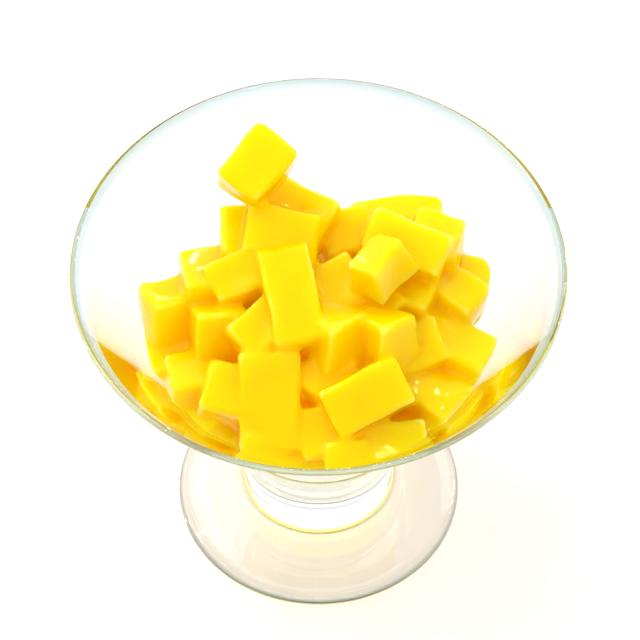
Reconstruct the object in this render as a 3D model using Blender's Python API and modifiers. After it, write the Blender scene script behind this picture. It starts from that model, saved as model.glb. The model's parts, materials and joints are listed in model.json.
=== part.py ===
"""A heap of cut jelly in a clear glass coupe: a cone-shaped bowl on a short thick stem and a round foot.

Lengths are in millimetres and angles in degrees. MM turns them into metres where a mesh is made.
The origin is on the turning axis, at the level that the foot stands on.
"""

import math
import random

import bmesh
import bpy
from mathutils import Matrix, Vector

MM = 0.001

# The glass: a conical bowl, a solid stem and a foot, turned in one piece
RIM_HEIGHT = 96.0
RIM_CORNER_RADIUS = 60.3  # the rim's rounding takes 0.6 off this
RIM_THICKNESS = 1.9  # level across the rim
RIM_ROUNDING = 0.75
BOWL_SLOPE = 1.495  # rise over run of the outer wall
INNER_SLOPE = 1.471  # a little flatter, so that the wall thickens downwards
CAVITY_FLOOR = 39.5
CAVITY_ROUNDING = 14.0
STEM_TOP_RADIUS = 20.0
STEM_RADIUS = 19.2
STEM_FLARE = 8.0
CREASE_HEIGHT = 28.5
CREASE_STEP = 1.0
CREASE_ROUNDING = 0.4
FOOT_RADIUS = 36.5
FOOT_EDGE = 3.4
FOOT_DOME = 7.4  # where the foot's slope meets the stem
FOOT_FILLET = 3.5
FOOT_RIDGE = 33.6
FOOT_RIDGE_STEP = 0.5
FOOT_TOP_ROUNDING = 1.6
FOOT_BASE_ROUNDING = 1.4
CONTACT_INNER_RADIUS = 31.5
UNDERSIDE_SLOPE = 3.0
UNDERSIDE_HOLLOW = 1.6
TURN_STEPS = 64

# The heap: a core out to just under the pieces that show, and the pieces fused on
WALL_GAP = 0.3
SPACE_TOP = 125.0  # clear of the highest piece
CORE_WALL_GAP = 1.5
CORE_EDGE_HEIGHT = 62.0
CORE_SHOULDER = (22.0, 71.0)
CORE_TOP = 79.0
CORE_CROWN = (10.0, 77.5)
CORE_FLOOR_GAP = 2.0
CORE_FOOT_ROUNDING = 8.0
CORE_STEPS = 32
CHUNK_BEVEL = 1.0
CHUNK_TAPER = 0.9

# Pieces that show from above: centre, (length, width, height), turn about Z, then a lean of so many degrees
# toward a compass angle, which is 0 along +X and 90 along +Y, and last the top's size over the bottom's.
TOP_CHUNKS = (
    ((-14.0, 25.0, 103.0), (17, 12.5, 12), 53, (-90, 28), 0.9),
    ((-5.0, 23.0, 88.5), (20, 12, 10), -32, (-90, 20), 0.9),
    ((-9.0, 15.0, 89.0), (20, 14, 12), -8, (-90, 30), 0.9),
    ((-17.5, 18.0, 83.0), (14, 14, 14), 5, (-90, 10), 0.9),
    ((-6.5, -2.0, 86.0), (26, 13, 10), -79, (-90, 18), 0.95),
    ((-19.5, 5.0, 83.5), (14, 11.5, 11), 25, (-120, 20), 0.9),
    ((-27.0, 7.5, 77.5), (14, 16, 15), 10, (90, 15), 0.9),
    ((-36.0, 2.0, 74.5), (15, 14, 15), 24, (90, 20), 0.8),
    ((-24.5, -3.0, 76.5), (14, 14, 13), 14, (90, 20), 0.9),
    ((-14.0, -7.0, 79.0), (15, 13, 14), 38, (-90, 20), 0.9),
    ((-11.6, -22.6, 72.0), (25, 15.5, 11), -89, (-90, 36), 0.95),
    ((-21.5, -20.0, 70.5), (14, 14, 14), -15, (-90, 20), 0.9),
    ((-30.0, -15.5, 68.0), (15, 14, 15), 12, (90, 10), 0.9),
    ((4.5, -10.0, 81.0), (14, 12.5, 14), 33, (90, 25), 0.9),
    ((16.0, -10.0, 79.5), (13, 13, 15), 40, (90, 25), 0.9),
    ((11.6, -24.0, 75.5), (21, 13.5, 10), 26, (-90, 34), 0.95),
    ((18.0, -31.5, 63.5), (18, 14, 15), 6, (-90, 25), 0.9),
    ((0.5, -28.0, 64.5), (12, 14, 17), 8, (-90, 22), 0.9),
    ((8.0, -31.0, 60.5), (13, 12, 14), -15, (-90, 15), 0.9),
    ((1.5, -16.5, 73.0), (15, 12, 12), 48, (-90, 18), 0.9),
    ((-11.0, -33.0, 61.0), (16, 12, 14), 4, (-90, 20), 0.9),
    ((15.0, 3.0, 91.5), (13.5, 10.5, 10.5), 50, (150, 20), 0.9),
    ((21.5, 13.0, 86.5), (22, 13, 12), -24, (-90, 20), 0.9),
    ((28.5, 17.0, 81.0), (14, 14, 15), -15, (0, 5), 0.9),
    ((19.5, 27.0, 79.0), (25, 11, 9), 4, (-90, 0), 0.9),
    ((33.0, 6.0, 76.0), (15, 11.5, 11), -35, (0, 10), 0.9),
    ((32.0, -7.0, 70.5), (21, 14, 14), -25, (0, 12), 0.9),
    ((28.0, -19.0, 66.5), (15, 15, 14), -35, (0, 10), 0.9),
    ((36.0, 12.0, 69.5), (12, 16, 14), -15, (0, 10), 0.9),
    ((-36.0, -8.0, 66.0), (14, 14, 14), 12, (0, 0), 0.9),
    ((4.0, 4.0, 80.0), (15, 15, 14), 28, (-90, 12), 0.9),
    ((13.0, 1.0, 79.0), (14, 14, 12), 40, (-90, 10), 0.9),
    ((7.0, 20.0, 80.0), (15, 14, 13), 15, (-90, 10), 0.9),
    ((22.0, 4.0, 78.0), (14, 13, 13), -20, (-90, 8), 0.9),
    ((24.0, -9.0, 73.0), (14, 13, 12), 20, (-90, 15), 0.9),
)

# Pieces that lie against the wall, in rings from the bottom up: height, count
WALL_RINGS = ((45.0, 7), (54.5, 11), (63.5, 14))
WALL_CHUNK = (13.0, 11.5, 9.0)
WALL_PRESS = 0.32  # how far a piece's centre stays from the wall, over its height
WALL_LEAN = 52.0
SEED = 7

GLASS_COLOUR = (0.88, 0.94, 0.92, 1.0)
JELLY_COLOUR = (1.0, 0.72, 0.0, 1.0)


def clear_scene():
    for obj in list(bpy.data.objects):
        bpy.data.objects.remove(obj, do_unlink=True)


def new_collection(name):
    collection = bpy.data.collections.new(name)
    bpy.context.scene.collection.children.link(collection)
    return collection


def glass_material():
    material = bpy.data.materials.new("clear_glass")
    material.use_nodes = True
    shader = material.node_tree.nodes["Principled BSDF"]
    shader.inputs["Base Color"].default_value = GLASS_COLOUR
    shader.inputs["Roughness"].default_value = 0.02
    shader.inputs["Metallic"].default_value = 0.0
    shader.inputs["IOR"].default_value = 1.5
    shader.inputs["Transmission Weight"].default_value = 1.0
    return material


def jelly_material():
    material = bpy.data.materials.new("yellow_jelly")
    material.use_nodes = True
    shader = material.node_tree.nodes["Principled BSDF"]
    shader.inputs["Base Color"].default_value = JELLY_COLOUR
    shader.inputs["Roughness"].default_value = 0.15
    shader.inputs["Metallic"].default_value = 0.0
    shader.inputs["Subsurface Weight"].default_value = 0.6
    return material


def rounded_outline(corners):
    """The outline through (radius, height, rounding, steps) corners, with an arc at each rounding."""
    places = [Vector(corner[:2]) for corner in corners]
    outline = []
    for index, (_, _, rounding, steps) in enumerate(corners):
        here = places[index]
        if not rounding:
            outline.append(here)
            continue
        back = (places[index - 1] - here).normalized()
        ahead = (places[index + 1] - here).normalized()
        half_angle = back.angle(ahead) / 2
        start = here + back * (rounding / math.tan(half_angle))
        centre = here + (back + ahead).normalized() * (rounding / math.sin(half_angle))
        sweep = math.pi - 2 * half_angle
        if back.x * ahead.y - back.y * ahead.x > 0:
            sweep = -sweep
        for step in range(steps + 1):
            turn = Matrix.Rotation(sweep * step / steps, 2)
            outline.append(centre + turn @ (start - centre))
    return outline


def turned(name, outline, collection, material=None):
    """A solid turned about Z from an outline that runs down its outer side."""
    mesh = bpy.data.meshes.new(name)
    points = [(place.x * MM, 0.0, place.y * MM) for place in outline]
    mesh.from_pydata(points, [(i, i + 1) for i in range(len(points) - 1)], [])
    obj = bpy.data.objects.new(name, mesh)
    collection.objects.link(obj)
    if material:
        mesh.materials.append(material)
    screw = obj.modifiers.new("turn", "SCREW")
    screw.steps = TURN_STEPS
    screw.render_steps = TURN_STEPS
    screw.use_merge_vertices = True
    screw.merge_threshold = 0.00001
    screw.use_smooth_shade = True
    return obj


def inner_radius(height):
    """The bowl's inner radius at a height on its straight wall."""
    return RIM_CORNER_RADIUS - RIM_THICKNESS - (RIM_HEIGHT - height) / INNER_SLOPE


def glass_outline():
    stem_meets_bowl = RIM_HEIGHT - (RIM_CORNER_RADIUS - STEM_TOP_RADIUS) * BOWL_SLOPE
    return rounded_outline(
        (
            (0.0, CAVITY_FLOOR, 0, 0),
            (inner_radius(CAVITY_FLOOR), CAVITY_FLOOR, CAVITY_ROUNDING, 6),
            (RIM_CORNER_RADIUS - RIM_THICKNESS, RIM_HEIGHT, RIM_ROUNDING, 3),
            (RIM_CORNER_RADIUS, RIM_HEIGHT, RIM_ROUNDING, 4),
            (STEM_TOP_RADIUS, stem_meets_bowl, STEM_FLARE, 4),
            (STEM_TOP_RADIUS, CREASE_HEIGHT + CREASE_STEP / 2, CREASE_ROUNDING, 2),
            (STEM_RADIUS, CREASE_HEIGHT - CREASE_STEP / 2, CREASE_ROUNDING, 2),
            (STEM_RADIUS, FOOT_DOME, FOOT_FILLET, 5),
            (FOOT_RIDGE, FOOT_EDGE + FOOT_RIDGE_STEP, 0, 0),
            (FOOT_RIDGE + FOOT_RIDGE_STEP, FOOT_EDGE, 0, 0),
            (FOOT_RADIUS, FOOT_EDGE, FOOT_TOP_ROUNDING, 4),
            (FOOT_RADIUS, 0.0, FOOT_BASE_ROUNDING, 4),
            (CONTACT_INNER_RADIUS, 0.0, 0, 0),
            (CONTACT_INNER_RADIUS - UNDERSIDE_SLOPE, UNDERSIDE_HOLLOW / 2, 0, 0),
            (0.0, UNDERSIDE_HOLLOW, 0, 0),
        )
    )


def bowl_space_outline(gap, top):
    """The bowl's cavity, drawn in by a gap and carried on upwards past the rim."""
    side = gap * math.hypot(1.0, 1.0 / INNER_SLOPE)
    floor = CAVITY_FLOOR + gap
    return rounded_outline(
        (
            (0.0, top, 0, 0),
            (inner_radius(top) - side, top, 0, 0),
            (inner_radius(floor) - side, floor, CAVITY_ROUNDING - gap, 6),
            (0.0, floor, 0, 0),
        )
    )


def core_outline():
    """The heap's inside: the cavity's form, clear of the wall, under a low dome."""
    side = CORE_WALL_GAP * math.hypot(1.0, 1.0 / INNER_SLOPE)
    floor = CAVITY_FLOOR + CORE_FLOOR_GAP
    return rounded_outline(
        (
            (0.0, CORE_TOP, 0, 0),
            (*CORE_CROWN, 0, 0),
            (*CORE_SHOULDER, 0, 0),
            (inner_radius(CORE_EDGE_HEIGHT) - side, CORE_EDGE_HEIGHT, 0, 0),
            (inner_radius(floor) - side, floor, CORE_FOOT_ROUNDING, 3),
            (0.0, floor, 0, 0),
        )
    )


def leaning(turn, toward, lean):
    """The rotation that turns a piece about Z and then tips its top toward a compass angle."""
    aside = Matrix.Rotation(math.radians(toward), 3, "Z")
    tip = Matrix.Rotation(math.radians(lean), 3, "Y")
    return aside @ tip @ aside.inverted() @ Matrix.Rotation(math.radians(turn), 3, "Z")


def add_chunk(collection, place, size, turn, lean, taper):
    """One piece of jelly: a cut block, a little smaller at its top, with its edges taken off."""
    mesh = bpy.data.meshes.new("chunk")
    shape = bmesh.new()
    bmesh.ops.create_cube(shape, size=1.0)
    for vertex in shape.verts:
        narrowing = taper if vertex.co.z > 0 else 1.0
        vertex.co.x *= size[0] * narrowing
        vertex.co.y *= size[1] * narrowing
        vertex.co.z *= size[2]
    bmesh.ops.bevel(shape, geom=shape.edges[:], offset=CHUNK_BEVEL, segments=1, affect="EDGES")
    rotation = leaning(turn, *lean)
    for vertex in shape.verts:
        vertex.co = (rotation @ vertex.co + Vector(place)) * MM
    shape.to_mesh(mesh)
    shape.free()
    obj = bpy.data.objects.new("chunk", mesh)
    collection.objects.link(obj)


def add_wall_chunks(collection):
    """Rings of pieces flat against the wall, unevenly turned and sized."""
    draw = random.Random(SEED)
    for height, count in WALL_RINGS:
        start = draw.uniform(0, 360)
        for index in range(count):
            angle = start + (index + draw.uniform(-0.18, 0.18)) * 360 / count
            level = height + draw.uniform(-2.0, 2.0)
            radius = inner_radius(level) - WALL_CHUNK[2] * WALL_PRESS
            place = (
                radius * math.cos(math.radians(angle)),
                radius * math.sin(math.radians(angle)),
                level,
            )
            size = [side * draw.uniform(0.88, 1.12) for side in WALL_CHUNK]
            lean = (angle + 180, WALL_LEAN + draw.uniform(-8, 8))
            add_chunk(collection, place, size, angle + draw.uniform(-25, 25), lean, CHUNK_TAPER)


def apply_boolean(obj, operation, collection=None, other=None):
    """Joins or cuts the object for good."""
    boolean = obj.modifiers.new(operation.lower(), "BOOLEAN")
    boolean.operation = operation
    boolean.solver = "EXACT"
    if collection:
        boolean.operand_type = "COLLECTION"
        boolean.collection = collection
    else:
        boolean.object = other
    graph = bpy.context.evaluated_depsgraph_get()
    mesh = bpy.data.meshes.new_from_object(obj.evaluated_get(graph))
    obj.modifiers.clear()
    obj.data = mesh


def skin_around(face):
    """Every face that is joined to this one, edge by edge."""
    skin = {face}
    edge_of_skin = [face]
    while edge_of_skin:
        for edge in edge_of_skin.pop().edges:
            for neighbour in edge.link_faces:
                if neighbour not in skin:
                    skin.add(neighbour)
                    edge_of_skin.append(neighbour)
    return skin


def keep_outer_skin(mesh):
    """Keeps the largest skin, which fills the hollows sealed between pieces and drops loose scraps."""
    shape = bmesh.new()
    shape.from_mesh(mesh)
    left = set(shape.faces)
    skins = []
    while left:
        skin = skin_around(next(iter(left)))
        left -= skin
        skins.append(skin)
    skins.sort(key=lambda skin: sum(face.calc_area() for face in skin))
    inner_faces = [face for skin in skins[:-1] for face in skin]
    bmesh.ops.delete(shape, geom=inner_faces, context="FACES")
    shape.to_mesh(mesh)
    shape.free()


def build_glass(parts):
    return turned("glass_coupe", glass_outline(), parts, glass_material())


def build_heap(parts, cutters):
    material = jelly_material()
    heap = turned("jelly_heap", core_outline(), parts, material)
    heap.modifiers["turn"].steps = CORE_STEPS
    heap.modifiers["turn"].render_steps = CORE_STEPS
    pieces = new_collection("pieces")
    for place, size, turn, lean, taper in TOP_CHUNKS:
        add_chunk(pieces, place, size, turn, lean, taper)
    add_wall_chunks(pieces)
    apply_boolean(heap, "UNION", collection=pieces)
    for piece in list(pieces.objects):
        bpy.data.objects.remove(piece, do_unlink=True)
    bpy.data.collections.remove(pieces)

    space = turned("bowl_space", bowl_space_outline(WALL_GAP, SPACE_TOP), cutters)
    space.hide_render = True
    space.display_type = "WIRE"
    apply_boolean(heap, "INTERSECT", other=space)
    keep_outer_skin(heap.data)
    heap.data.materials.clear()
    heap.data.materials.append(material)
    heap.data.shade_flat()
    return heap


def main():
    clear_scene()
    parts = new_collection("jelly_coupe")
    cutters = new_collection("cutters")
    build_glass(parts)
    build_heap(parts, cutters)


main()
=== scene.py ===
"""Cut yellow jelly heaped in a clear glass coupe, on a pale floor in soft studio light.

Lengths are in millimetres and angles in degrees, unless a comment says otherwise, and MM turns the lengths
into metres. The origin is on the turning axis, at the level that the foot stands on.
"""

import json
import math
import random

import bmesh
import bpy
from mathutils import Matrix, Vector, noise
from mathutils.bvhtree import BVHTree
from mathutils.kdtree import KDTree

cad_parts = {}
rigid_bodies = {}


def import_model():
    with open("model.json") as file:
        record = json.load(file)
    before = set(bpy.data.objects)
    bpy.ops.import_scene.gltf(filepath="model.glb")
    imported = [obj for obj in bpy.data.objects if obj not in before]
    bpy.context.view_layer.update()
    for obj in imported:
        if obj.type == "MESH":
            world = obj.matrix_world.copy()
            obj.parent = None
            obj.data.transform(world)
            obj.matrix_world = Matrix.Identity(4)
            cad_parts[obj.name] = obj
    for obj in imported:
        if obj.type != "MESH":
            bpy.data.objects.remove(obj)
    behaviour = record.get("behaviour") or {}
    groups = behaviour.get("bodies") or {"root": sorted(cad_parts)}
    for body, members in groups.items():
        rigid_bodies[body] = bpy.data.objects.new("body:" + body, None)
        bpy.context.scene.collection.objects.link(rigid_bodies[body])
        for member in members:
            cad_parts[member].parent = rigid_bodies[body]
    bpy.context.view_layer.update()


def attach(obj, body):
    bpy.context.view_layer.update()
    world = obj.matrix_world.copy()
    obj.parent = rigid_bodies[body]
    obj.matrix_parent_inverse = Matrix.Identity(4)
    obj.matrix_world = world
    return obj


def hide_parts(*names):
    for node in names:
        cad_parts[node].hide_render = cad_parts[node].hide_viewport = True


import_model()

MM = 0.001
TINY = 1e-6  # the size of rounding errors

# The glass: the same sizes as the part's source, turned finer
RIM_HEIGHT = 96.0
RIM_CORNER_RADIUS = 60.3  # the rim's rounding takes 0.6 off this
RIM_THICKNESS = 1.9  # level across the rim
RIM_ROUNDING = 0.75
BOWL_SLOPE = 1.495  # rise over run of the outer wall
INNER_SLOPE = 1.471  # a little flatter, so that the wall thickens downwards
CAVITY_FLOOR = 39.5
CAVITY_ROUNDING = 14.0
STEM_TOP_RADIUS = 20.0
STEM_RADIUS = 19.2
STEM_FLARE = 8.0
CREASE_HEIGHT = 28.5
CREASE_STEP = 1.0
CREASE_ROUNDING = 0.45
FOOT_RADIUS = 36.5
FOOT_EDGE = 3.4
FOOT_DOME = 7.4  # where the foot's slope meets the stem
FOOT_FILLET = 3.5
FOOT_RIDGE = 33.6
FOOT_RIDGE_STEP = 0.5
FOOT_RIDGE_WIDTH = 0.9
FOOT_RIDGE_ROUNDING = 0.5
FOOT_TOP_ROUNDING = 1.6
FOOT_BASE_ROUNDING = 1.4
CONTACT_INNER_RADIUS = 31.5
CONTACT_ROUNDING = 0.6
UNDERSIDE_SLOPE = 3.0
UNDERSIDE_ROUNDING = 4.0
UNDERSIDE_HOLLOW = 1.6
GLASS_STEPS = 192
GLASS_SHARP_ANGLE = 50.0
MERGE_GAP = 0.01  # turned points as near as this, such as those on the axis, become one

# The space that the heap is cut to: it reaches just into the wall, and up past the highest piece
WALL_BITE = 0.06
SPACE_TOP = 125.0

# The heap's core, clear of the wall under a low dome
CORE_WALL_GAP = 1.5
CORE_FLOOR_GAP = 1.2
CORE_FOOT_ROUNDING = 10.0
CORE_EDGE_HEIGHT = 62.0
CORE_EDGE_ROUNDING = 1.5
CORE_SHOULDER = (22.0, 71.0)
CORE_CROWN = (10.0, 77.5)
CORE_DOME_ROUNDING = 12.0
CORE_TOP = 79.0
CORE_STEPS = 96

# One piece of jelly: how far it may bend, twist and sag, and two sizes of unevenness with their lengths
PIECE_SEGMENTS = 10
EDGE_SEGMENTS = 2  # of them, how many lie in each rounded edge
EDGE_ROUNDING = 1.2
PIECE_TAPER = 0.9
BEND = 0.09  # the ends' rise over half the length
BEND_LEVEL = 0.4  # keeps a bent piece at its height
TWIST = 8.0
SAG = (0.1, 0.8)
SWELL = (1.0, 10.0)
DENTS = (0.16, 2.6)
UNEVENNESS_REACH = 50.0  # within it, each piece has its own place in the noise

# The wet skin over all pieces
SKIN_GRAIN = 0.62
SKIN_SMOOTHING = 4
SKIN_SMOOTHING_FACTOR = 0.5
JELLY_SHARP_ANGLE = 38.0

# Pieces that show from above: centre, (length, width, height), turn about Z, then a lean of so many degrees
# toward a compass angle, which is 0 along +X and 90 along +Y, and last the top's size over the bottom's.
# The last four are small ones between others in front, where the rounded pieces would leave deep gaps.
TOP_PIECES = (
    ((-14.8, 25.3, 103.2), (17.5, 13.5, 12), 53, (-90, 28), 0.9),
    ((-5.0, 23.0, 88.5), (20, 12, 10), -32, (-90, 20), 0.9),
    ((-9.0, 15.0, 89.0), (20, 14, 12), -8, (-90, 30), 0.9),
    ((-17.5, 18.0, 83.0), (14, 14, 14), 5, (-90, 10), 0.9),
    ((-6.5, -2.0, 86.0), (26, 13, 10), -79, (-90, 18), 0.95),
    ((-19.5, 5.0, 83.5), (14, 11.5, 11), 25, (-120, 20), 0.9),
    ((-27.0, 7.5, 77.5), (14, 16, 15), 10, (90, 15), 0.9),
    ((-36.0, 2.0, 74.5), (15, 14, 15), 24, (90, 20), 0.8),
    ((-24.5, -3.0, 76.5), (14, 14, 13), 14, (90, 20), 0.9),
    ((-14.0, -7.0, 79.0), (15, 13, 14), 38, (-90, 20), 0.9),
    ((-11.6, -22.6, 72.0), (25, 15.5, 11), -89, (-90, 36), 0.95),
    ((-21.5, -20.0, 70.5), (14, 14, 14), -15, (-90, 20), 0.9),
    ((-30.0, -15.5, 68.0), (15, 14, 15), 12, (90, 10), 0.9),
    ((4.5, -10.0, 81.0), (14, 12.5, 14), 33, (90, 25), 0.9),
    ((16.0, -10.0, 79.5), (13, 13, 15), 40, (90, 25), 0.9),
    ((11.6, -24.0, 75.5), (21, 13.5, 10), 26, (-90, 34), 0.95),
    ((18.0, -31.5, 63.5), (18, 14, 15), 6, (-90, 25), 0.9),
    ((0.5, -28.0, 64.5), (12, 14, 17), 8, (-90, 22), 0.9),
    ((8.0, -31.0, 60.5), (13, 12, 14), -15, (-90, 15), 0.9),
    ((1.5, -16.5, 73.0), (15, 12, 12), 48, (-90, 18), 0.9),
    ((-11.0, -33.0, 61.0), (16, 12, 14), 4, (-90, 20), 0.9),
    ((15.0, 3.0, 91.5), (13.5, 10.5, 10.5), 50, (150, 20), 0.9),
    ((21.5, 13.0, 86.5), (22, 13, 12), -24, (-90, 20), 0.9),
    ((28.5, 17.0, 81.0), (14, 14, 15), -15, (0, 5), 0.9),
    ((19.5, 27.0, 79.0), (25, 11, 9), 4, (-90, 0), 0.9),
    ((33.0, 6.0, 76.0), (15, 11.5, 11), -35, (0, 10), 0.9),
    ((32.0, -7.0, 70.5), (21, 14, 14), -25, (0, 12), 0.9),
    ((28.0, -19.0, 66.5), (15, 15, 14), -35, (0, 10), 0.9),
    ((36.0, 12.0, 69.5), (12, 16, 14), -15, (0, 10), 0.9),
    ((-36.0, -8.0, 66.0), (14, 14, 14), 12, (0, 0), 0.9),
    ((4.0, 4.0, 80.0), (15, 15, 14), 28, (-90, 12), 0.9),
    ((13.0, 1.0, 79.0), (14, 14, 12), 40, (-90, 10), 0.9),
    ((7.0, 20.0, 80.0), (15, 14, 13), 15, (-90, 10), 0.9),
    ((22.0, 4.0, 78.0), (14, 13, 13), -20, (-90, 8), 0.9),
    ((24.0, -9.0, 73.0), (14, 13, 12), 20, (-90, 15), 0.9),
    ((-3.5, -18.5, 67.5), (13, 12, 12), 25, (-90, 25), 0.9),
    ((-23.0, -7.5, 67.0), (13, 12, 12), 10, (-90, 25), 0.9),
    ((21.5, -20.0, 61.5), (14, 13, 12), 20, (-90, 25), 0.9),
    ((-1.0, -33.0, 61.0), (12, 12, 12), 5, (-90, 20), 0.9),
)

# Pieces that lie against the wall, in rings from the bottom up: height, count
WALL_RINGS = ((45.0, 7), (54.5, 11), (63.5, 14))
WALL_PIECE = (13.0, 11.5, 9.0)
WALL_PRESS = 0.32  # how far a piece's centre stays from the wall, over its height
WALL_LEAN = 52.0
ANGLE_PLAY = 0.18  # of the angle between two neighbours
LEVEL_PLAY = 2.0
SIZE_PLAY = (0.88, 1.12)
LEAN_PLAY = 8.0
TURN_PLAY = 25.0
SEED = 7

# How far light is followed when the jelly's depth is measured, with how many rays, and where these start
OPEN_REACH = 14.0
THICK_REACH = 13.0
DEPTH_RAYS = 14
RAY_START = 0.05  # off the skin
# Rounds of evening out along the skin, for the two depths and for the sharpness of edges
DEPTH_SPREAD = 5
EDGE_SPREAD = 2

# The camera, above the horizon in front: its distance and target are in metres
CAMERA_ELEVATION = 53.5
CAMERA_DISTANCE = 0.8
CAMERA_TARGET = (0.00035, 0.0, 0.0744)
CAMERA_LENS = 184.05
CAMERA_SENSOR = 36.0

# The floor, in metres: it lies a hair below the foot, so that the two surfaces never share a plane
FLOOR_HALF = 20.0
FLOOR_DROP = 0.00002
FLOOR_STOPS = (
    (0.3, (0.63, 0.63, 0.63, 1.0)),
    (0.7, (0.66, 0.66, 0.66, 1.0)),
)

# Painted shade: the jelly's colour by how open a place is to light, more orange in gaps that little light
# reaches
GAP_SHADE_STOPS = (
    (0.25, (1.0, 0.60, 0.0, 1.0)),
    (0.55, (1.0, 0.59, 0.0, 1.0)),
    (0.90, (1.0, 0.64, 0.0, 1.0)),
)
CLOUD_SHARE = 0.22  # how far a faint cloudiness moves it along these stops
# Painted shade low in the heap: below this height in metres, a place counts as deeper by so much for each
# metre
LIGHT_HEIGHT = 0.080
DEEPENING = 10.0
# Painted glow: how much of a paler colour a place takes by the jelly's thickness behind it, for light shining
# through where the jelly is thin
THIN_GLOW_STOPS = (
    (0.28, (0.45, 0.45, 0.45, 1.0)),
    (0.55, (0.0, 0.0, 0.0, 1.0)),
)
THIN_GLOW_COLOUR = (1.0, 0.80, 0.12, 1.0)
# Painted highlights on edges: how much of the palest colour an edge takes by its sharpness, and what
# multiplies the sharpness as measured
EDGE_HIGHLIGHT_STOPS = (
    (0.26, (0.0, 0.0, 0.0, 1.0)),
    (0.66, (0.75, 0.75, 0.75, 1.0)),
)
EDGE_HIGHLIGHT_COLOUR = (1.0, 0.88, 0.22, 1.0)
EDGE_GAIN = 6.5

# The studio's brightness by the height of the direction: dim low down, bright overhead
WORLD_STOPS = (
    (0.0, (0.08, 0.09, 0.11, 1.0)),
    (0.12, (0.08, 0.09, 0.11, 1.0)),
    (0.30, (1.42, 1.42, 1.42, 1.0)),
    (1.0, (1.42, 1.42, 1.42, 1.0)),
)

# Light that has been mirrored inside the glass more often than this goes straight on, and after one time less
# in the front of the rim: above this height, and short of this distance behind the axis
LAST_GLASS_BOUNCE = 2.0
RIM_ZONE_HEIGHT = 88.0
RIM_ZONE_DEPTH = 20.0

# The glass's tint by height, in tenths of a metre: clear above, warm in the foot as painted shade and painted
# light that has come through the jelly, and painted dark lines, standing for refractions, along the rim and
# where the stem and the foot change form
TENTHS = 10.0
GLASS_TINT_AND_SHADE_STOPS = (
    (0.0335, (0.86, 0.84, 0.81, 1.0)),
    (0.0355, (0.60, 0.57, 0.52, 1.0)),
    (0.038, (0.86, 0.84, 0.81, 1.0)),
    (0.078, (0.94, 0.92, 0.89, 1.0)),
    (0.092, (0.28, 0.30, 0.36, 1.0)),
    (0.100, (0.97, 0.97, 0.97, 1.0)),
    (0.132, (0.97, 0.97, 0.97, 1.0)),
    (0.137, (0.42, 0.45, 0.52, 1.0)),
    (0.143, (0.97, 0.97, 0.97, 1.0)),
    (0.235, (0.97, 0.97, 0.97, 1.0)),
    (0.242, (0.50, 0.54, 0.60, 1.0)),
    (0.249, (0.97, 0.97, 0.97, 1.0)),
    (0.278, (0.97, 0.97, 0.97, 1.0)),
    (0.284, (0.30, 0.33, 0.40, 1.0)),
    (0.292, (0.98, 0.98, 0.98, 1.0)),
    (0.925, (1.0, 1.0, 1.0, 1.0)),
    (0.934, (0.70, 0.80, 0.80, 1.0)),
    (0.943, (0.98, 1.0, 0.99, 1.0)),
    (0.951, (0.50, 0.62, 0.63, 1.0)),
)
# How far those lines wander up and down, in tenths of a metre
LINE_WOBBLE = 0.006
# The foot's edge, from this radius out and this height down, and its tint by height in tenths of a metre: a
# painted dark line over a painted golden one, for the light that the glass gathers from what has come through
# the jelly
FOOT_LINE_RADIUS = 35.6
FOOT_LINE_TOP = 3.5
FOOT_EDGE_LIGHT_AND_SHADE_STOPS = (
    (0.004, (0.98, 0.72, 0.22, 1.0)),
    (0.015, (0.98, 0.72, 0.22, 1.0)),
    (0.019, (0.20, 0.20, 0.17, 1.0)),
    (0.028, (0.24, 0.24, 0.20, 1.0)),
    (0.033, (0.86, 0.84, 0.81, 1.0)),
)
# What tints the light that goes straight on, by height in tenths of a metre: painted reflections, golden
# beside the jelly where they stand for the jelly seen in the wall, warm grey low down and greyish green at
# the rim
TRAPPED_REFLECTION_STOPS = (
    (0.09, (0.88, 0.82, 0.72, 1.0)),
    (0.15, (0.90, 0.90, 0.88, 1.0)),
    (0.42, (0.90, 0.90, 0.88, 1.0)),
    (0.50, (1.0, 0.86, 0.46, 1.0)),
    (0.66, (1.0, 0.90, 0.60, 1.0)),
    (0.78, (1.0, 0.97, 0.90, 1.0)),
    (0.885, (0.62, 0.69, 0.62, 1.0)),
)
# What tints the light that falls through the glass onto other things
LAMPLIGHT_TINT = (0.97, 0.965, 0.95, 1.0)

# The lights, in metres and watts: name, place, the diameter of a disc or the sides of a strip, energy
LIGHT_TARGET = (0.0, 0.0, 0.075)
LIGHTS = (
    ("key", (-0.45, 0.35, 0.75), 0.7, 2.7),
    ("fill", (0.5, -0.7, 0.8), 0.8, 0.3),
    ("sparkle_left", (-0.34, 0.30, 0.75), 0.022, 0.55),
    ("sparkle_right", (0.22, 0.45, 0.70), 0.020, 0.35),
    ("sparkle_front", (0.18, -0.15, 0.85), 0.018, 0.3),
    ("sparkle_side", (-0.50, -0.20, 0.65), 0.018, 0.3),
    ("strip_left", (-0.75, 0.15, 0.45), (0.01, 0.6), 1.1),
    ("strip_right", (0.6, 0.5, 0.5), (0.01, 0.6), 1.1),
    ("strip_back", (0.10, 0.85, 0.42), (0.6, 0.012), 1.5),
)
# A small lamp in the stem stands for the light that has come down through the jelly
STEM_LIGHT = ("amber", (0.0, 0.0, 0.0385), 0.034, 0.011)
STEM_LIGHT_TARGET = (0.0, 0.0, 0.0)
STEM_LIGHT_COLOUR = (1.0, 0.50, 0.05)
WHITE = (1.0, 1.0, 1.0)


def inner_radius(height):
    """The bowl's inner radius at a height on its straight wall."""
    return RIM_CORNER_RADIUS - RIM_THICKNESS - (RIM_HEIGHT - height) / INNER_SLOPE


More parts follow.
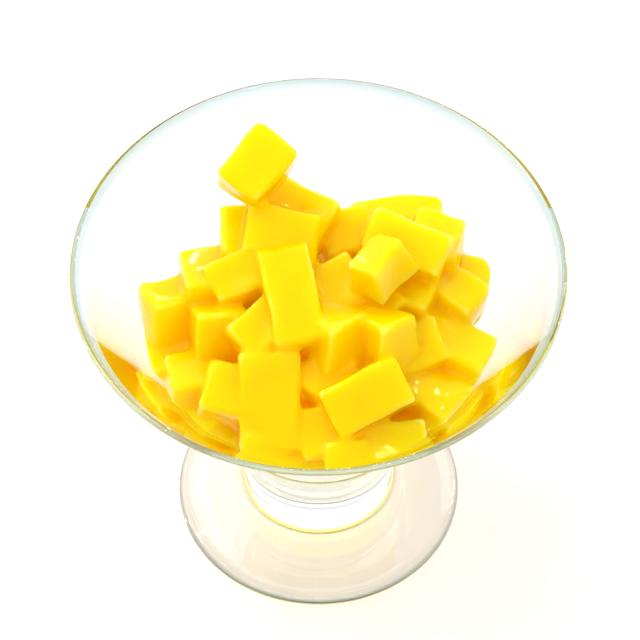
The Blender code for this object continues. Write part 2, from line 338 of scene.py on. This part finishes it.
def rounded_outline(corners):
    """The outline through corners: radius, height, the radius of the corner's arc or 0, the arc's steps."""
    places = [Vector(corner[:2]) for corner in corners]
    outline = []
    for index, (_, _, rounding, steps) in enumerate(corners):
        here = places[index]
        if not rounding:
            outline.append(here)
            continue
        back = (places[index - 1] - here).normalized()
        ahead = (places[index + 1] - here).normalized()
        half_angle = back.angle(ahead) / 2
        start = here + back * (rounding / math.tan(half_angle))
        centre = here + (back + ahead).normalized() * (rounding / math.sin(half_angle))
        sweep = math.pi - 2 * half_angle
        if back.x * ahead.y - back.y * ahead.x > 0:
            sweep = -sweep
        for step in range(steps + 1):
            turn = Matrix.Rotation(sweep * step / steps, 2)
            outline.append(centre + turn @ (start - centre))
    return outline


def turned(name, outline, steps):
    """A solid turned about Z from an outline that runs down its outer side."""
    mesh = bpy.data.meshes.new(name)
    points = [(place.x * MM, 0.0, place.y * MM) for place in outline]
    mesh.from_pydata(points, [(i, i + 1) for i in range(len(points) - 1)], [])
    obj = bpy.data.objects.new(name, mesh)
    bpy.context.scene.collection.objects.link(obj)
    screw = obj.modifiers.new("turn", "SCREW")
    screw.steps = steps
    screw.render_steps = steps
    screw.use_merge_vertices = True
    screw.merge_threshold = MERGE_GAP * MM
    settle(obj)
    return obj


def settle(obj):
    """Makes the object's modifiers part of its mesh."""
    graph = bpy.context.evaluated_depsgraph_get()
    mesh = bpy.data.meshes.new_from_object(obj.evaluated_get(graph))
    obj.modifiers.clear()
    obj.data = mesh


def glass_outline():
    """From the cavity's floor up the inner wall, over the rim and down the outside to the foot's hollow."""
    stem_meets_bowl = RIM_HEIGHT - (RIM_CORNER_RADIUS - STEM_TOP_RADIUS) * BOWL_SLOPE
    return rounded_outline(
        (
            (0.0, CAVITY_FLOOR, 0, 0),
            (inner_radius(CAVITY_FLOOR), CAVITY_FLOOR, CAVITY_ROUNDING, 24),
            (RIM_CORNER_RADIUS - RIM_THICKNESS, RIM_HEIGHT, RIM_ROUNDING, 8),
            (RIM_CORNER_RADIUS, RIM_HEIGHT, RIM_ROUNDING, 12),
            (STEM_TOP_RADIUS, stem_meets_bowl, STEM_FLARE, 12),
            (STEM_TOP_RADIUS, CREASE_HEIGHT + CREASE_STEP / 2, CREASE_ROUNDING, 5),
            (STEM_RADIUS, CREASE_HEIGHT - CREASE_STEP / 2, CREASE_ROUNDING, 5),
            (STEM_RADIUS, FOOT_DOME, FOOT_FILLET, 14),
            (FOOT_RIDGE, FOOT_EDGE + FOOT_RIDGE_STEP, FOOT_RIDGE_ROUNDING, 4),
            (FOOT_RIDGE + FOOT_RIDGE_WIDTH, FOOT_EDGE, FOOT_RIDGE_ROUNDING, 4),
            (FOOT_RADIUS, FOOT_EDGE, FOOT_TOP_ROUNDING, 10),
            (FOOT_RADIUS, 0.0, FOOT_BASE_ROUNDING, 10),
            (CONTACT_INNER_RADIUS, 0.0, CONTACT_ROUNDING, 4),
            (CONTACT_INNER_RADIUS - UNDERSIDE_SLOPE, UNDERSIDE_HOLLOW / 2, UNDERSIDE_ROUNDING, 6),
            (0.0, UNDERSIDE_HOLLOW, 0, 0),
        )
    )


def core_outline():
    """The heap's inside: the cavity's form, clear of the wall, under a low dome."""
    side = CORE_WALL_GAP * math.hypot(1.0, 1.0 / INNER_SLOPE)
    floor = CAVITY_FLOOR + CORE_FLOOR_GAP
    return rounded_outline(
        (
            (0.0, CORE_TOP, 0, 0),
            (*CORE_CROWN, CORE_DOME_ROUNDING, 5),
            (*CORE_SHOULDER, CORE_DOME_ROUNDING, 5),
            (inner_radius(CORE_EDGE_HEIGHT) - side, CORE_EDGE_HEIGHT, CORE_EDGE_ROUNDING, 5),
            (inner_radius(floor) - side, floor, CORE_FOOT_ROUNDING, 10),
            (0.0, floor, 0, 0),
        )
    )


def bowl_space_outline():
    """The bowl's cavity, let out by a bite into the wall and carried on upwards past the rim."""
    side = WALL_BITE * math.hypot(1.0, 1.0 / INNER_SLOPE)
    floor = CAVITY_FLOOR - WALL_BITE
    return rounded_outline(
        (
            (0.0, SPACE_TOP, 0, 0),
            (inner_radius(SPACE_TOP) + side, SPACE_TOP, 0, 0),
            (inner_radius(floor) + side, floor, CAVITY_ROUNDING + WALL_BITE, 24),
            (0.0, floor, 0, 0),
        )
    )


def leaning(turn, toward, lean):
    """The rotation that turns a piece about Z and then tips its top toward a compass angle."""
    aside = Matrix.Rotation(math.radians(toward), 3, "Z")
    tip = Matrix.Rotation(math.radians(lean), 3, "Y")
    return aside @ tip @ aside.inverted() @ Matrix.Rotation(math.radians(turn), 3, "Z")


def rounded_block(halves):
    """A block's surface as a grid, finer at its rounded edges, and centred on the origin."""
    shape = bmesh.new()
    bmesh.ops.create_cube(shape, size=2.0)
    bmesh.ops.subdivide_edges(shape, edges=shape.edges[:], cuts=PIECE_SEGMENTS - 1, use_grid_fill=True)
    flat_share = 1 - 2 * EDGE_SEGMENTS / PIECE_SEGMENTS
    for vertex in shape.verts:
        inner = Vector()
        outer = Vector()
        for axis in range(3):
            across = vertex.co[axis]
            flat = halves[axis] - EDGE_ROUNDING
            if abs(across) <= flat_share + TINY:
                inner[axis] = across / flat_share * flat
            else:
                inner[axis] = math.copysign(flat, across)
                outer[axis] = math.copysign((abs(across) - flat_share) / (1 - flat_share), across)
        reach = max(abs(outer.x), abs(outer.y), abs(outer.z))
        if reach > TINY:
            vertex.co = inner + outer.normalized() * EDGE_ROUNDING * reach
        else:
            vertex.co = inner
    return shape


def add_piece(collection, place, size, turn, lean, taper, draw):
    """One piece of jelly: a cut block with soft edges, a slight bend and twist, and a top that sags."""
    halves = [side / 2 for side in size]
    shape = rounded_block(halves)
    bend = draw.uniform(-BEND, BEND)
    twist = math.radians(draw.uniform(-TWIST, TWIST))
    sag = draw.uniform(*SAG)
    offset = Vector([draw.uniform(0, UNEVENNESS_REACH) for _ in range(3)])
    rotation = leaning(turn, *lean)
    for vertex in shape.verts:
        across = Vector(vertex.co[axis] / halves[axis] for axis in range(3))
        narrowing = 1 + (taper - 1) * (across.z + 1) / 2
        point = Vector((vertex.co.x * narrowing, vertex.co.y * narrowing, vertex.co.z))
        point.z += halves[0] * bend * (across.x * across.x - BEND_LEVEL)
        if across.z > 0:
            point.z -= sag * (1 - across.x * across.x) * (1 - across.y * across.y)
        point = Matrix.Rotation(twist * across.x, 3, "X") @ point
        for amount, length in (SWELL, DENTS):
            point += amount * noise.noise_vector(point / length + offset)
        vertex.co = (rotation @ point + Vector(place)) * MM
    mesh = bpy.data.meshes.new("piece")
    shape.to_mesh(mesh)
    shape.free()
    obj = bpy.data.objects.new("piece", mesh)
    collection.objects.link(obj)


def add_wall_pieces(collection, shapes):
    """Rings of pieces flat against the wall, unevenly turned and sized as in the part's source."""
    draw = random.Random(SEED)
    for height, count in WALL_RINGS:
        start = draw.uniform(0, 360)
        for index in range(count):
            angle = start + (index + draw.uniform(-ANGLE_PLAY, ANGLE_PLAY)) * 360 / count
            level = height + draw.uniform(-LEVEL_PLAY, LEVEL_PLAY)
            radius = inner_radius(level) - WALL_PIECE[2] * WALL_PRESS
            place = (
                radius * math.cos(math.radians(angle)),
                radius * math.sin(math.radians(angle)),
                level,
            )
            size = [side * draw.uniform(*SIZE_PLAY) for side in WALL_PIECE]
            lean = (angle + 180, WALL_LEAN + draw.uniform(-LEAN_PLAY, LEAN_PLAY))
            turn = angle + draw.uniform(-TURN_PLAY, TURN_PLAY)
            add_piece(collection, place, size, turn, lean, PIECE_TAPER, shapes)


def join_or_cut(obj, operation, collection=None, other=None):
    """Joins all of a collection to the object, or cuts the object to another."""
    boolean = obj.modifiers.new(operation.lower(), "BOOLEAN")
    boolean.operation = operation
    boolean.solver = "MANIFOLD"
    if collection:
        boolean.operand_type = "COLLECTION"
        boolean.collection = collection
    else:
        boolean.object = other
    settle(obj)


def hemisphere(count):
    """Directions spread evenly by the cosine over the upper hemisphere."""
    golden_angle = math.pi * (3 - math.sqrt(5))
    directions = []
    for index in range(count):
        height = math.sqrt(1 - (index + 0.5) / count)
        flat = math.sqrt(1 - height * height)
        turn = index * golden_angle
        directions.append(Vector((flat * math.cos(turn), flat * math.sin(turn), height)))
    return directions


def spread(values, edges, rounds):
    """Evens out one value a vertex along the edges."""
    for _ in range(rounds):
        total = list(values)
        count = [1] * len(values)
        for a, b in edges:
            total[a] += values[b]
            total[b] += values[a]
            count[a] += 1
            count[b] += 1
        values = [part / number for part, number in zip(total, count)]
    return values


def measure_depth(mesh):
    """Two measures for each vertex: how open it is to light, and how thick the jelly is behind it."""
    places = [vertex.co.copy() for vertex in mesh.vertices]
    tree = BVHTree.FromPolygons(places, [face.vertices[:] for face in mesh.polygons])
    directions = hemisphere(DEPTH_RAYS)
    start = RAY_START * MM
    measures = []
    for vertex in mesh.vertices:
        up = vertex.normal
        frame_of_normal = up.to_track_quat("Z", "Y").to_matrix()
        outside = vertex.co + up * start
        inside = vertex.co - up * start
        open_sum = 0.0
        thick_sum = 0.0
        for direction in directions:
            way = frame_of_normal @ direction
            reach = tree.ray_cast(outside, way, OPEN_REACH * MM)[3]
            open_sum += 1.0 if reach is None else reach / (OPEN_REACH * MM)
            reach = tree.ray_cast(inside, -way, THICK_REACH * MM)[3]
            thick_sum += 1.0 if reach is None else reach / (THICK_REACH * MM)
        measures.append((open_sum / DEPTH_RAYS, thick_sum / DEPTH_RAYS))
    return places, measures


def edge_measure(mesh, edges):
    """How sharply the skin turns outward at each vertex: 0 on a flat face, more on an edge or a corner."""
    total = [0.0] * len(mesh.vertices)
    count = [0] * len(mesh.vertices)
    places = [vertex.co.copy() for vertex in mesh.vertices]
    normals = [vertex.normal.copy() for vertex in mesh.vertices]
    for a, b in edges:
        along = (places[b] - places[a]).normalized()
        total[a] -= along.dot(normals[a])
        total[b] += along.dot(normals[b])
        count[a] += 1
        count[b] += 1
    sharpness = [EDGE_GAIN * part / max(1, number) for part, number in zip(total, count)]
    return [min(1.0, max(0.0, value)) for value in sharpness]


def skin_around(face):
    """All faces of the skin that a face belongs to."""
    skin = {face}
    edge_of_skin = [face]
    while edge_of_skin:
        for edge in edge_of_skin.pop().edges:
            for other in edge.link_faces:
                if other not in skin:
                    skin.add(other)
                    edge_of_skin.append(other)
    return skin


def keep_outer_skin(mesh):
    """Keeps the largest skin, without the hollows sealed between pieces and without loose scraps."""
    shape = bmesh.new()
    shape.from_mesh(mesh)
    left = set(shape.faces)
    skins = []
    while left:
        skin = skin_around(next(iter(left)))
        left -= skin
        skins.append(skin)
    skins.sort(key=lambda skin: sum(face.calc_area() for face in skin))
    other_faces = [face for skin in skins[:-1] for face in skin]
    bmesh.ops.delete(shape, geom=other_faces, context="FACES")
    shape.to_mesh(mesh)
    shape.free()


def keep_depth(mesh, places, measures):
    """Keeps the measures of the nearest place on each vertex of a mesh, and with them that of its edges."""
    near = KDTree(len(places))
    for index, place in enumerate(places):
        near.insert(place, index)
    near.balance()
    nearest = [near.find(vertex.co)[1] for vertex in mesh.vertices]
    edges = [edge.vertices[:] for edge in mesh.edges]
    columns = {
        "openness": spread([measures[i][0] for i in nearest], edges, DEPTH_SPREAD),
        "thickness": spread([measures[i][1] for i in nearest], edges, DEPTH_SPREAD),
        "edge": spread(edge_measure(mesh, edges), edges, EDGE_SPREAD),
    }
    for name, values in columns.items():
        layer = mesh.attributes.new(name, "FLOAT", "POINT")
        layer.data.foreach_set("value", values)


def soften(obj):
    """Fuses the pieces' skin where they touch and rounds it, as a wet film does."""
    remesh = obj.modifiers.new("film", "REMESH")
    remesh.mode = "VOXEL"
    remesh.voxel_size = SKIN_GRAIN * MM
    remesh.adaptivity = 0.0
    smooth = obj.modifiers.new("smooth", "SMOOTH")
    smooth.factor = SKIN_SMOOTHING_FACTOR
    smooth.iterations = SKIN_SMOOTHING
    settle(obj)


def build_heap():
    """The pieces and their core joined into one skin, as wet jelly is, and pressed against the glass."""
    heap = turned("jelly_pieces", core_outline(), CORE_STEPS)
    pieces = bpy.data.collections.new("pieces")
    bpy.context.scene.collection.children.link(pieces)
    shapes = random.Random(SEED + 1)
    # Without a seed of its own, the noise differs from one run to the next
    noise.seed_set(SEED)
    for place, size, turn, lean, taper in TOP_PIECES:
        add_piece(pieces, place, size, turn, lean, taper, shapes)
    add_wall_pieces(pieces, shapes)
    join_or_cut(heap, "UNION", collection=pieces)
    for piece in list(pieces.objects):
        bpy.data.objects.remove(piece, do_unlink=True)
    bpy.data.collections.remove(pieces)
    places, measures = measure_depth(heap.data)
    soften(heap)
    space = turned("bowl_space", bowl_space_outline(), GLASS_STEPS)
    join_or_cut(heap, "INTERSECT", other=space)
    bpy.data.objects.remove(space, do_unlink=True)
    keep_outer_skin(heap.data)
    keep_depth(heap.data, places, measures)
    heap.data.materials.clear()
    heap.data.materials.append(jelly_material())
    heap.data.shade_smooth()
    heap.data.set_sharp_from_angle(angle=math.radians(JELLY_SHARP_ANGLE))
    return heap


def build_glass():
    """The coupe, turned in one piece."""
    glass = turned("coupe", glass_outline(), GLASS_STEPS)
    glass.data.materials.append(glass_material())
    glass.data.shade_smooth()
    glass.data.set_sharp_from_angle(angle=math.radians(GLASS_SHARP_ANGLE))
    return glass


class Nodes:
    """Short calls for the nodes of one material or world. A source is a node with the name of its output."""

    def __init__(self, tree):
        self.tree = tree
        tree.nodes.clear()

    def add(self, kind, inputs=None, **settings):
        """A node with its settings, and with inputs that are given as values or as sources."""
        node = self.tree.nodes.new(kind)
        for key, value in settings.items():
            setattr(node, key, value)
        for key, value in (inputs or {}).items():
            if isinstance(value, tuple) and isinstance(value[0], bpy.types.Node):
                source, output = value
                self.tree.links.new(source.outputs[output], node.inputs[key])
            else:
                node.inputs[key].default_value = value
        return node

    def math(self, operation, *inputs, **settings):
        """A sum, product or comparison of values and sources, as a source."""
        node = self.add("ShaderNodeMath", dict(enumerate(inputs)), operation=operation, **settings)
        return node, "Value"

    def ramp(self, stops, source):
        """The colour at a source's value between stops of (position, colour), as a source."""
        node = self.add("ShaderNodeValToRGB", {"Fac": source})
        elements = node.color_ramp.elements
        elements[0].position, elements[0].color = stops[0]
        elements[1].position, elements[1].color = stops[-1]
        for position, colour in stops[1:-1]:
            elements.new(position).color = colour
        return node, "Color"

    def mix(self, share, first, second):
        """Two colours mixed by the second one's share, as a source."""
        node = self.add("ShaderNodeMix", {"Factor": share, "A": first, "B": second}, data_type="RGBA")
        return node, "Result"

    def mix_shaders(self, share, first, second):
        """Two shaders mixed by the second one's share, as a source."""
        return self.add("ShaderNodeMixShader", {0: share, 1: first, 2: second}), "Shader"

    def attribute(self, name):
        """One of the measures that are kept on the mesh, as a source."""
        return self.add("ShaderNodeAttribute", attribute_name=name), "Fac"


def new_material(name):
    """An empty material, with the calls for its nodes."""
    material = bpy.data.materials.new(name)
    material.use_nodes = True
    return material, Nodes(material.node_tree)


def jelly_colour(nodes, place):
    """Yellow with painted shade that turns it orange in deep gaps and low in the heap, a painted glow that
    makes it pale where it is thin, and painted highlights on edges.
    """
    axes = nodes.add("ShaderNodeSeparateXYZ", {"Vector": place})
    cloud = nodes.add(
        "ShaderNodeTexNoise",
        {"Vector": place, "Scale": 110.0, "Detail": 3.0, "Roughness": 0.55},
    )
    clouded = nodes.math("MULTIPLY_ADD", (cloud, "Fac"), CLOUD_SHARE, -CLOUD_SHARE / 2)
    # Painted shade: more orange where a place is less open to light, and low in the heap
    shade = nodes.math("ADD", nodes.attribute("openness"), clouded)
    low_shade = nodes.math("MULTIPLY_ADD", (axes, "Z"), -DEEPENING, DEEPENING * LIGHT_HEIGHT, use_clamp=True)
    painted_shade = nodes.ramp(GAP_SHADE_STOPS, nodes.math("SUBTRACT", shade, low_shade))
    # Painted glow: paler where the jelly is thin, as if light shone through
    glow_share = nodes.ramp(THIN_GLOW_STOPS, nodes.attribute("thickness"))
    with_glow = nodes.mix(glow_share, painted_shade, THIN_GLOW_COLOUR)
    # Painted highlights along sharp edges, broken up by noise
    uneven = nodes.add("ShaderNodeTexNoise", {"Vector": place, "Scale": 90.0, "Detail": 2.0})
    edge = nodes.math("MULTIPLY", (uneven, "Fac"), nodes.attribute("edge"))
    return nodes.mix(nodes.ramp(EDGE_HIGHLIGHT_STOPS, edge), with_glow, EDGE_HIGHLIGHT_COLOUR)


def jelly_material():
    """Wet jelly: light soaks in, and the skin is glossy and very finely rippled."""
    material, nodes = new_material("yellow_jelly")
    place = (nodes.add("ShaderNodeTexCoord"), "Object")
    ripple = nodes.add("ShaderNodeTexNoise", {"Vector": place, "Scale": 300.0, "Detail": 2.0})
    bump = nodes.add("ShaderNodeBump", {"Height": (ripple, "Fac"), "Strength": 0.30, "Distance": 0.0006})
    shader = nodes.add(
        "ShaderNodeBsdfPrincipled",
        {
            "Base Color": jelly_colour(nodes, place),
            "Normal": (bump, "Normal"),
            "Roughness": 0.045,
            "IOR": 1.38,
            "Specular IOR Level": 0.5,
            "Specular Tint": (1.0, 0.92, 0.25, 1.0),
            "Subsurface Weight": 1.0,
            "Subsurface Radius": (1.0, 0.6, 0.02),
            "Subsurface Scale": 0.020,
            "Transmission Weight": 0.3,
        },
    )
    nodes.add("ShaderNodeOutputMaterial", {"Surface": (shader, "BSDF")})
    return material


def glass_tint_and_shade(nodes, axes, tenths, wave):
    """Clear, with a faint tint by height, painted shade in the foot, painted dark lines that wander a little,
    and the painted golden and dark lines along the foot's edge.
    """
    wandering = nodes.math("MULTIPLY_ADD", wave, LINE_WOBBLE, tenths)
    level = nodes.add("ShaderNodeCombineXYZ", {"X": (axes, "X"), "Y": (axes, "Y")})
    radius = nodes.add("ShaderNodeVectorMath", {0: (level, "Vector")}, operation="LENGTH")
    # Where the foot's edge takes its painted golden line and painted dark line
    outermost = nodes.math("GREATER_THAN", (radius, "Value"), FOOT_LINE_RADIUS * MM)
    low = nodes.math("LESS_THAN", (axes, "Z"), FOOT_LINE_TOP * MM)
    on_foot_edge = nodes.math("MULTIPLY", outermost, low)
    # Painted shade in the foot and painted dark lines, for refractions, along the stem, foot and rim
    shaded_tint = nodes.ramp(GLASS_TINT_AND_SHADE_STOPS, wandering)
    return nodes.mix(on_foot_edge, shaded_tint, nodes.ramp(FOOT_EDGE_LIGHT_AND_SHADE_STOPS, tenths))


def trapped_share(nodes, axes, path):
    """1 for light that has been mirrored inside the glass more often than it is followed, and else 0."""
    near_rim = nodes.math("GREATER_THAN", (axes, "Z"), RIM_ZONE_HEIGHT * MM)
    in_front = nodes.math("LESS_THAN", (axes, "Y"), RIM_ZONE_DEPTH * MM)
    in_rim_zone = nodes.math("MULTIPLY", near_rim, in_front)
    last_bounce = nodes.math("SUBTRACT", LAST_GLASS_BOUNCE, in_rim_zone)
    return nodes.math("GREATER_THAN", (path, "Glossy Depth"), last_bounce)


def glass_material():
    """Clear pressed glass, faintly green where it is thick, that lets light through to what is behind it."""
    material, nodes = new_material("clear_glass")
    place = (nodes.add("ShaderNodeTexCoord"), "Object")
    axes = nodes.add("ShaderNodeSeparateXYZ", {"Vector": place})
    tenths = nodes.math("MULTIPLY", (axes, "Z"), TENTHS)
    wave = nodes.add("ShaderNodeTexNoise", {"Vector": place, "Scale": 45.0, "Detail": 1.5})
    bump = nodes.add("ShaderNodeBump", {"Height": (wave, "Fac"), "Strength": 0.03, "Distance": 0.001})
    shader = nodes.add(
        "ShaderNodeBsdfPrincipled",
        {
            "Base Color": glass_tint_and_shade(nodes, axes, tenths, (wave, "Fac")),
            "Normal": (bump, "Normal"),
            "Roughness": 0.0,
            "IOR": 1.5,
            "Transmission Weight": 1.0,
        },
    )
    # Light that goes straight on takes a painted reflection, golden beside the jelly
    trapped = nodes.add("ShaderNodeBsdfTransparent", {"Color": nodes.ramp(TRAPPED_REFLECTION_STOPS, tenths)})
    lamplight = nodes.add("ShaderNodeBsdfTransparent", {"Color": LAMPLIGHT_TINT})
    path = nodes.add("ShaderNodeLightPath")
    is_trapped = trapped_share(nodes, axes, path)
    with_trapped = nodes.mix_shaders(is_trapped, (shader, "BSDF"), (trapped, "BSDF"))
    is_lamplight = nodes.math("MAXIMUM", (path, "Is Shadow Ray"), (path, "Is Diffuse Ray"))
    surface = nodes.mix_shaders(is_lamplight, with_trapped, (lamplight, "BSDF"))
    inside = nodes.add("ShaderNodeVolumeAbsorption", {"Color": (0.72, 0.88, 0.82, 1.0), "Density": 9.0})
    nodes.add("ShaderNodeOutputMaterial", {"Surface": surface, "Volume": (inside, "Volume")})
    return material


def floor_material():
    """A pale matt floor, clouded very faintly."""
    material, nodes = new_material("pale_floor")
    place = (nodes.add("ShaderNodeTexCoord"), "Object")
    grain = nodes.add("ShaderNodeTexNoise", {"Vector": place, "Scale": 40.0, "Detail": 4.0})
    colour = nodes.ramp(FLOOR_STOPS, (grain, "Fac"))
    shader = nodes.add(
        "ShaderNodeBsdfPrincipled",
        {"Base Color": colour, "Roughness": 0.7, "Specular IOR Level": 0.2},
    )
    nodes.add("ShaderNodeOutputMaterial", {"Surface": (shader, "BSDF")})
    return material


def build_floor():
    """A wide level floor, which isn't part of the object."""
    mesh = bpy.data.meshes.new("floor")
    shape = bmesh.new()
    bmesh.ops.create_grid(shape, x_segments=1, y_segments=1, size=FLOOR_HALF)
    shape.to_mesh(mesh)
    shape.free()
    floor = bpy.data.objects.new("floor", mesh)
    bpy.context.scene.collection.objects.link(floor)
    floor.location.z = -FLOOR_DROP
    mesh.materials.append(floor_material())


def add_area_light(name, place, size, energy, target, colour):
    """A disc of light of one size, or a strip of (width, length), that faces a target."""
    light = bpy.data.lights.new(name, "AREA")
    if isinstance(size, tuple):
        light.shape = "RECTANGLE"
        light.size, light.size_y = size
    else:
        light.shape = "DISK"
        light.size = size
    light.energy = energy
    light.color = colour
    obj = bpy.data.objects.new(name, light)
    bpy.context.scene.collection.objects.link(obj)
    obj.location = place
    obj.rotation_euler = (Vector(target) - Vector(place)).to_track_quat("-Z", "Y").to_euler()


def build_lights():
    """Two soft lamps, small ones for sparkle, strips for thin lines along edges, and the one in the stem."""
    for light in LIGHTS:
        add_area_light(*light, LIGHT_TARGET, WHITE)
    add_area_light(*STEM_LIGHT, STEM_LIGHT_TARGET, STEM_LIGHT_COLOUR)


def build_studio():
    """Light from all around, by the height of its direction."""
    world = bpy.data.worlds.new("studio")
    bpy.context.scene.world = world
    world.use_nodes = True
    nodes = Nodes(world.node_tree)
    axes = nodes.add("ShaderNodeSeparateXYZ", {"Vector": (nodes.add("ShaderNodeTexCoord"), "Generated")})
    sky = nodes.add("ShaderNodeBackground", {"Color": nodes.ramp(WORLD_STOPS, (axes, "Z"))})
    nodes.add("ShaderNodeOutputWorld", {"Surface": (sky, "Background")})


def build_camera():
    """A camera with a long lens, aimed at the middle of the photo's view."""
    camera = bpy.data.cameras.new("camera")
    camera.lens = CAMERA_LENS
    camera.sensor_width = CAMERA_SENSOR
    obj = bpy.data.objects.new("camera", camera)
    bpy.context.scene.collection.objects.link(obj)
    elevation = math.radians(CAMERA_ELEVATION)
    back = Vector((0.0, -math.cos(elevation), math.sin(elevation)))
    obj.location = Vector(CAMERA_TARGET) + back * CAMERA_DISTANCE
    obj.rotation_euler = (-back).to_track_quat("-Z", "Y").to_euler()
    bpy.context.scene.camera = obj


def main():
    bpy.context.scene.view_settings.view_transform = "Standard"
    build_camera()
    build_lights()
    build_studio()
    build_floor()
    glass = build_glass()
    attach(glass, "root")
    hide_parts("glass_coupe")
    heap = build_heap()
    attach(heap, "root")
    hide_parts("jelly_heap")


main()
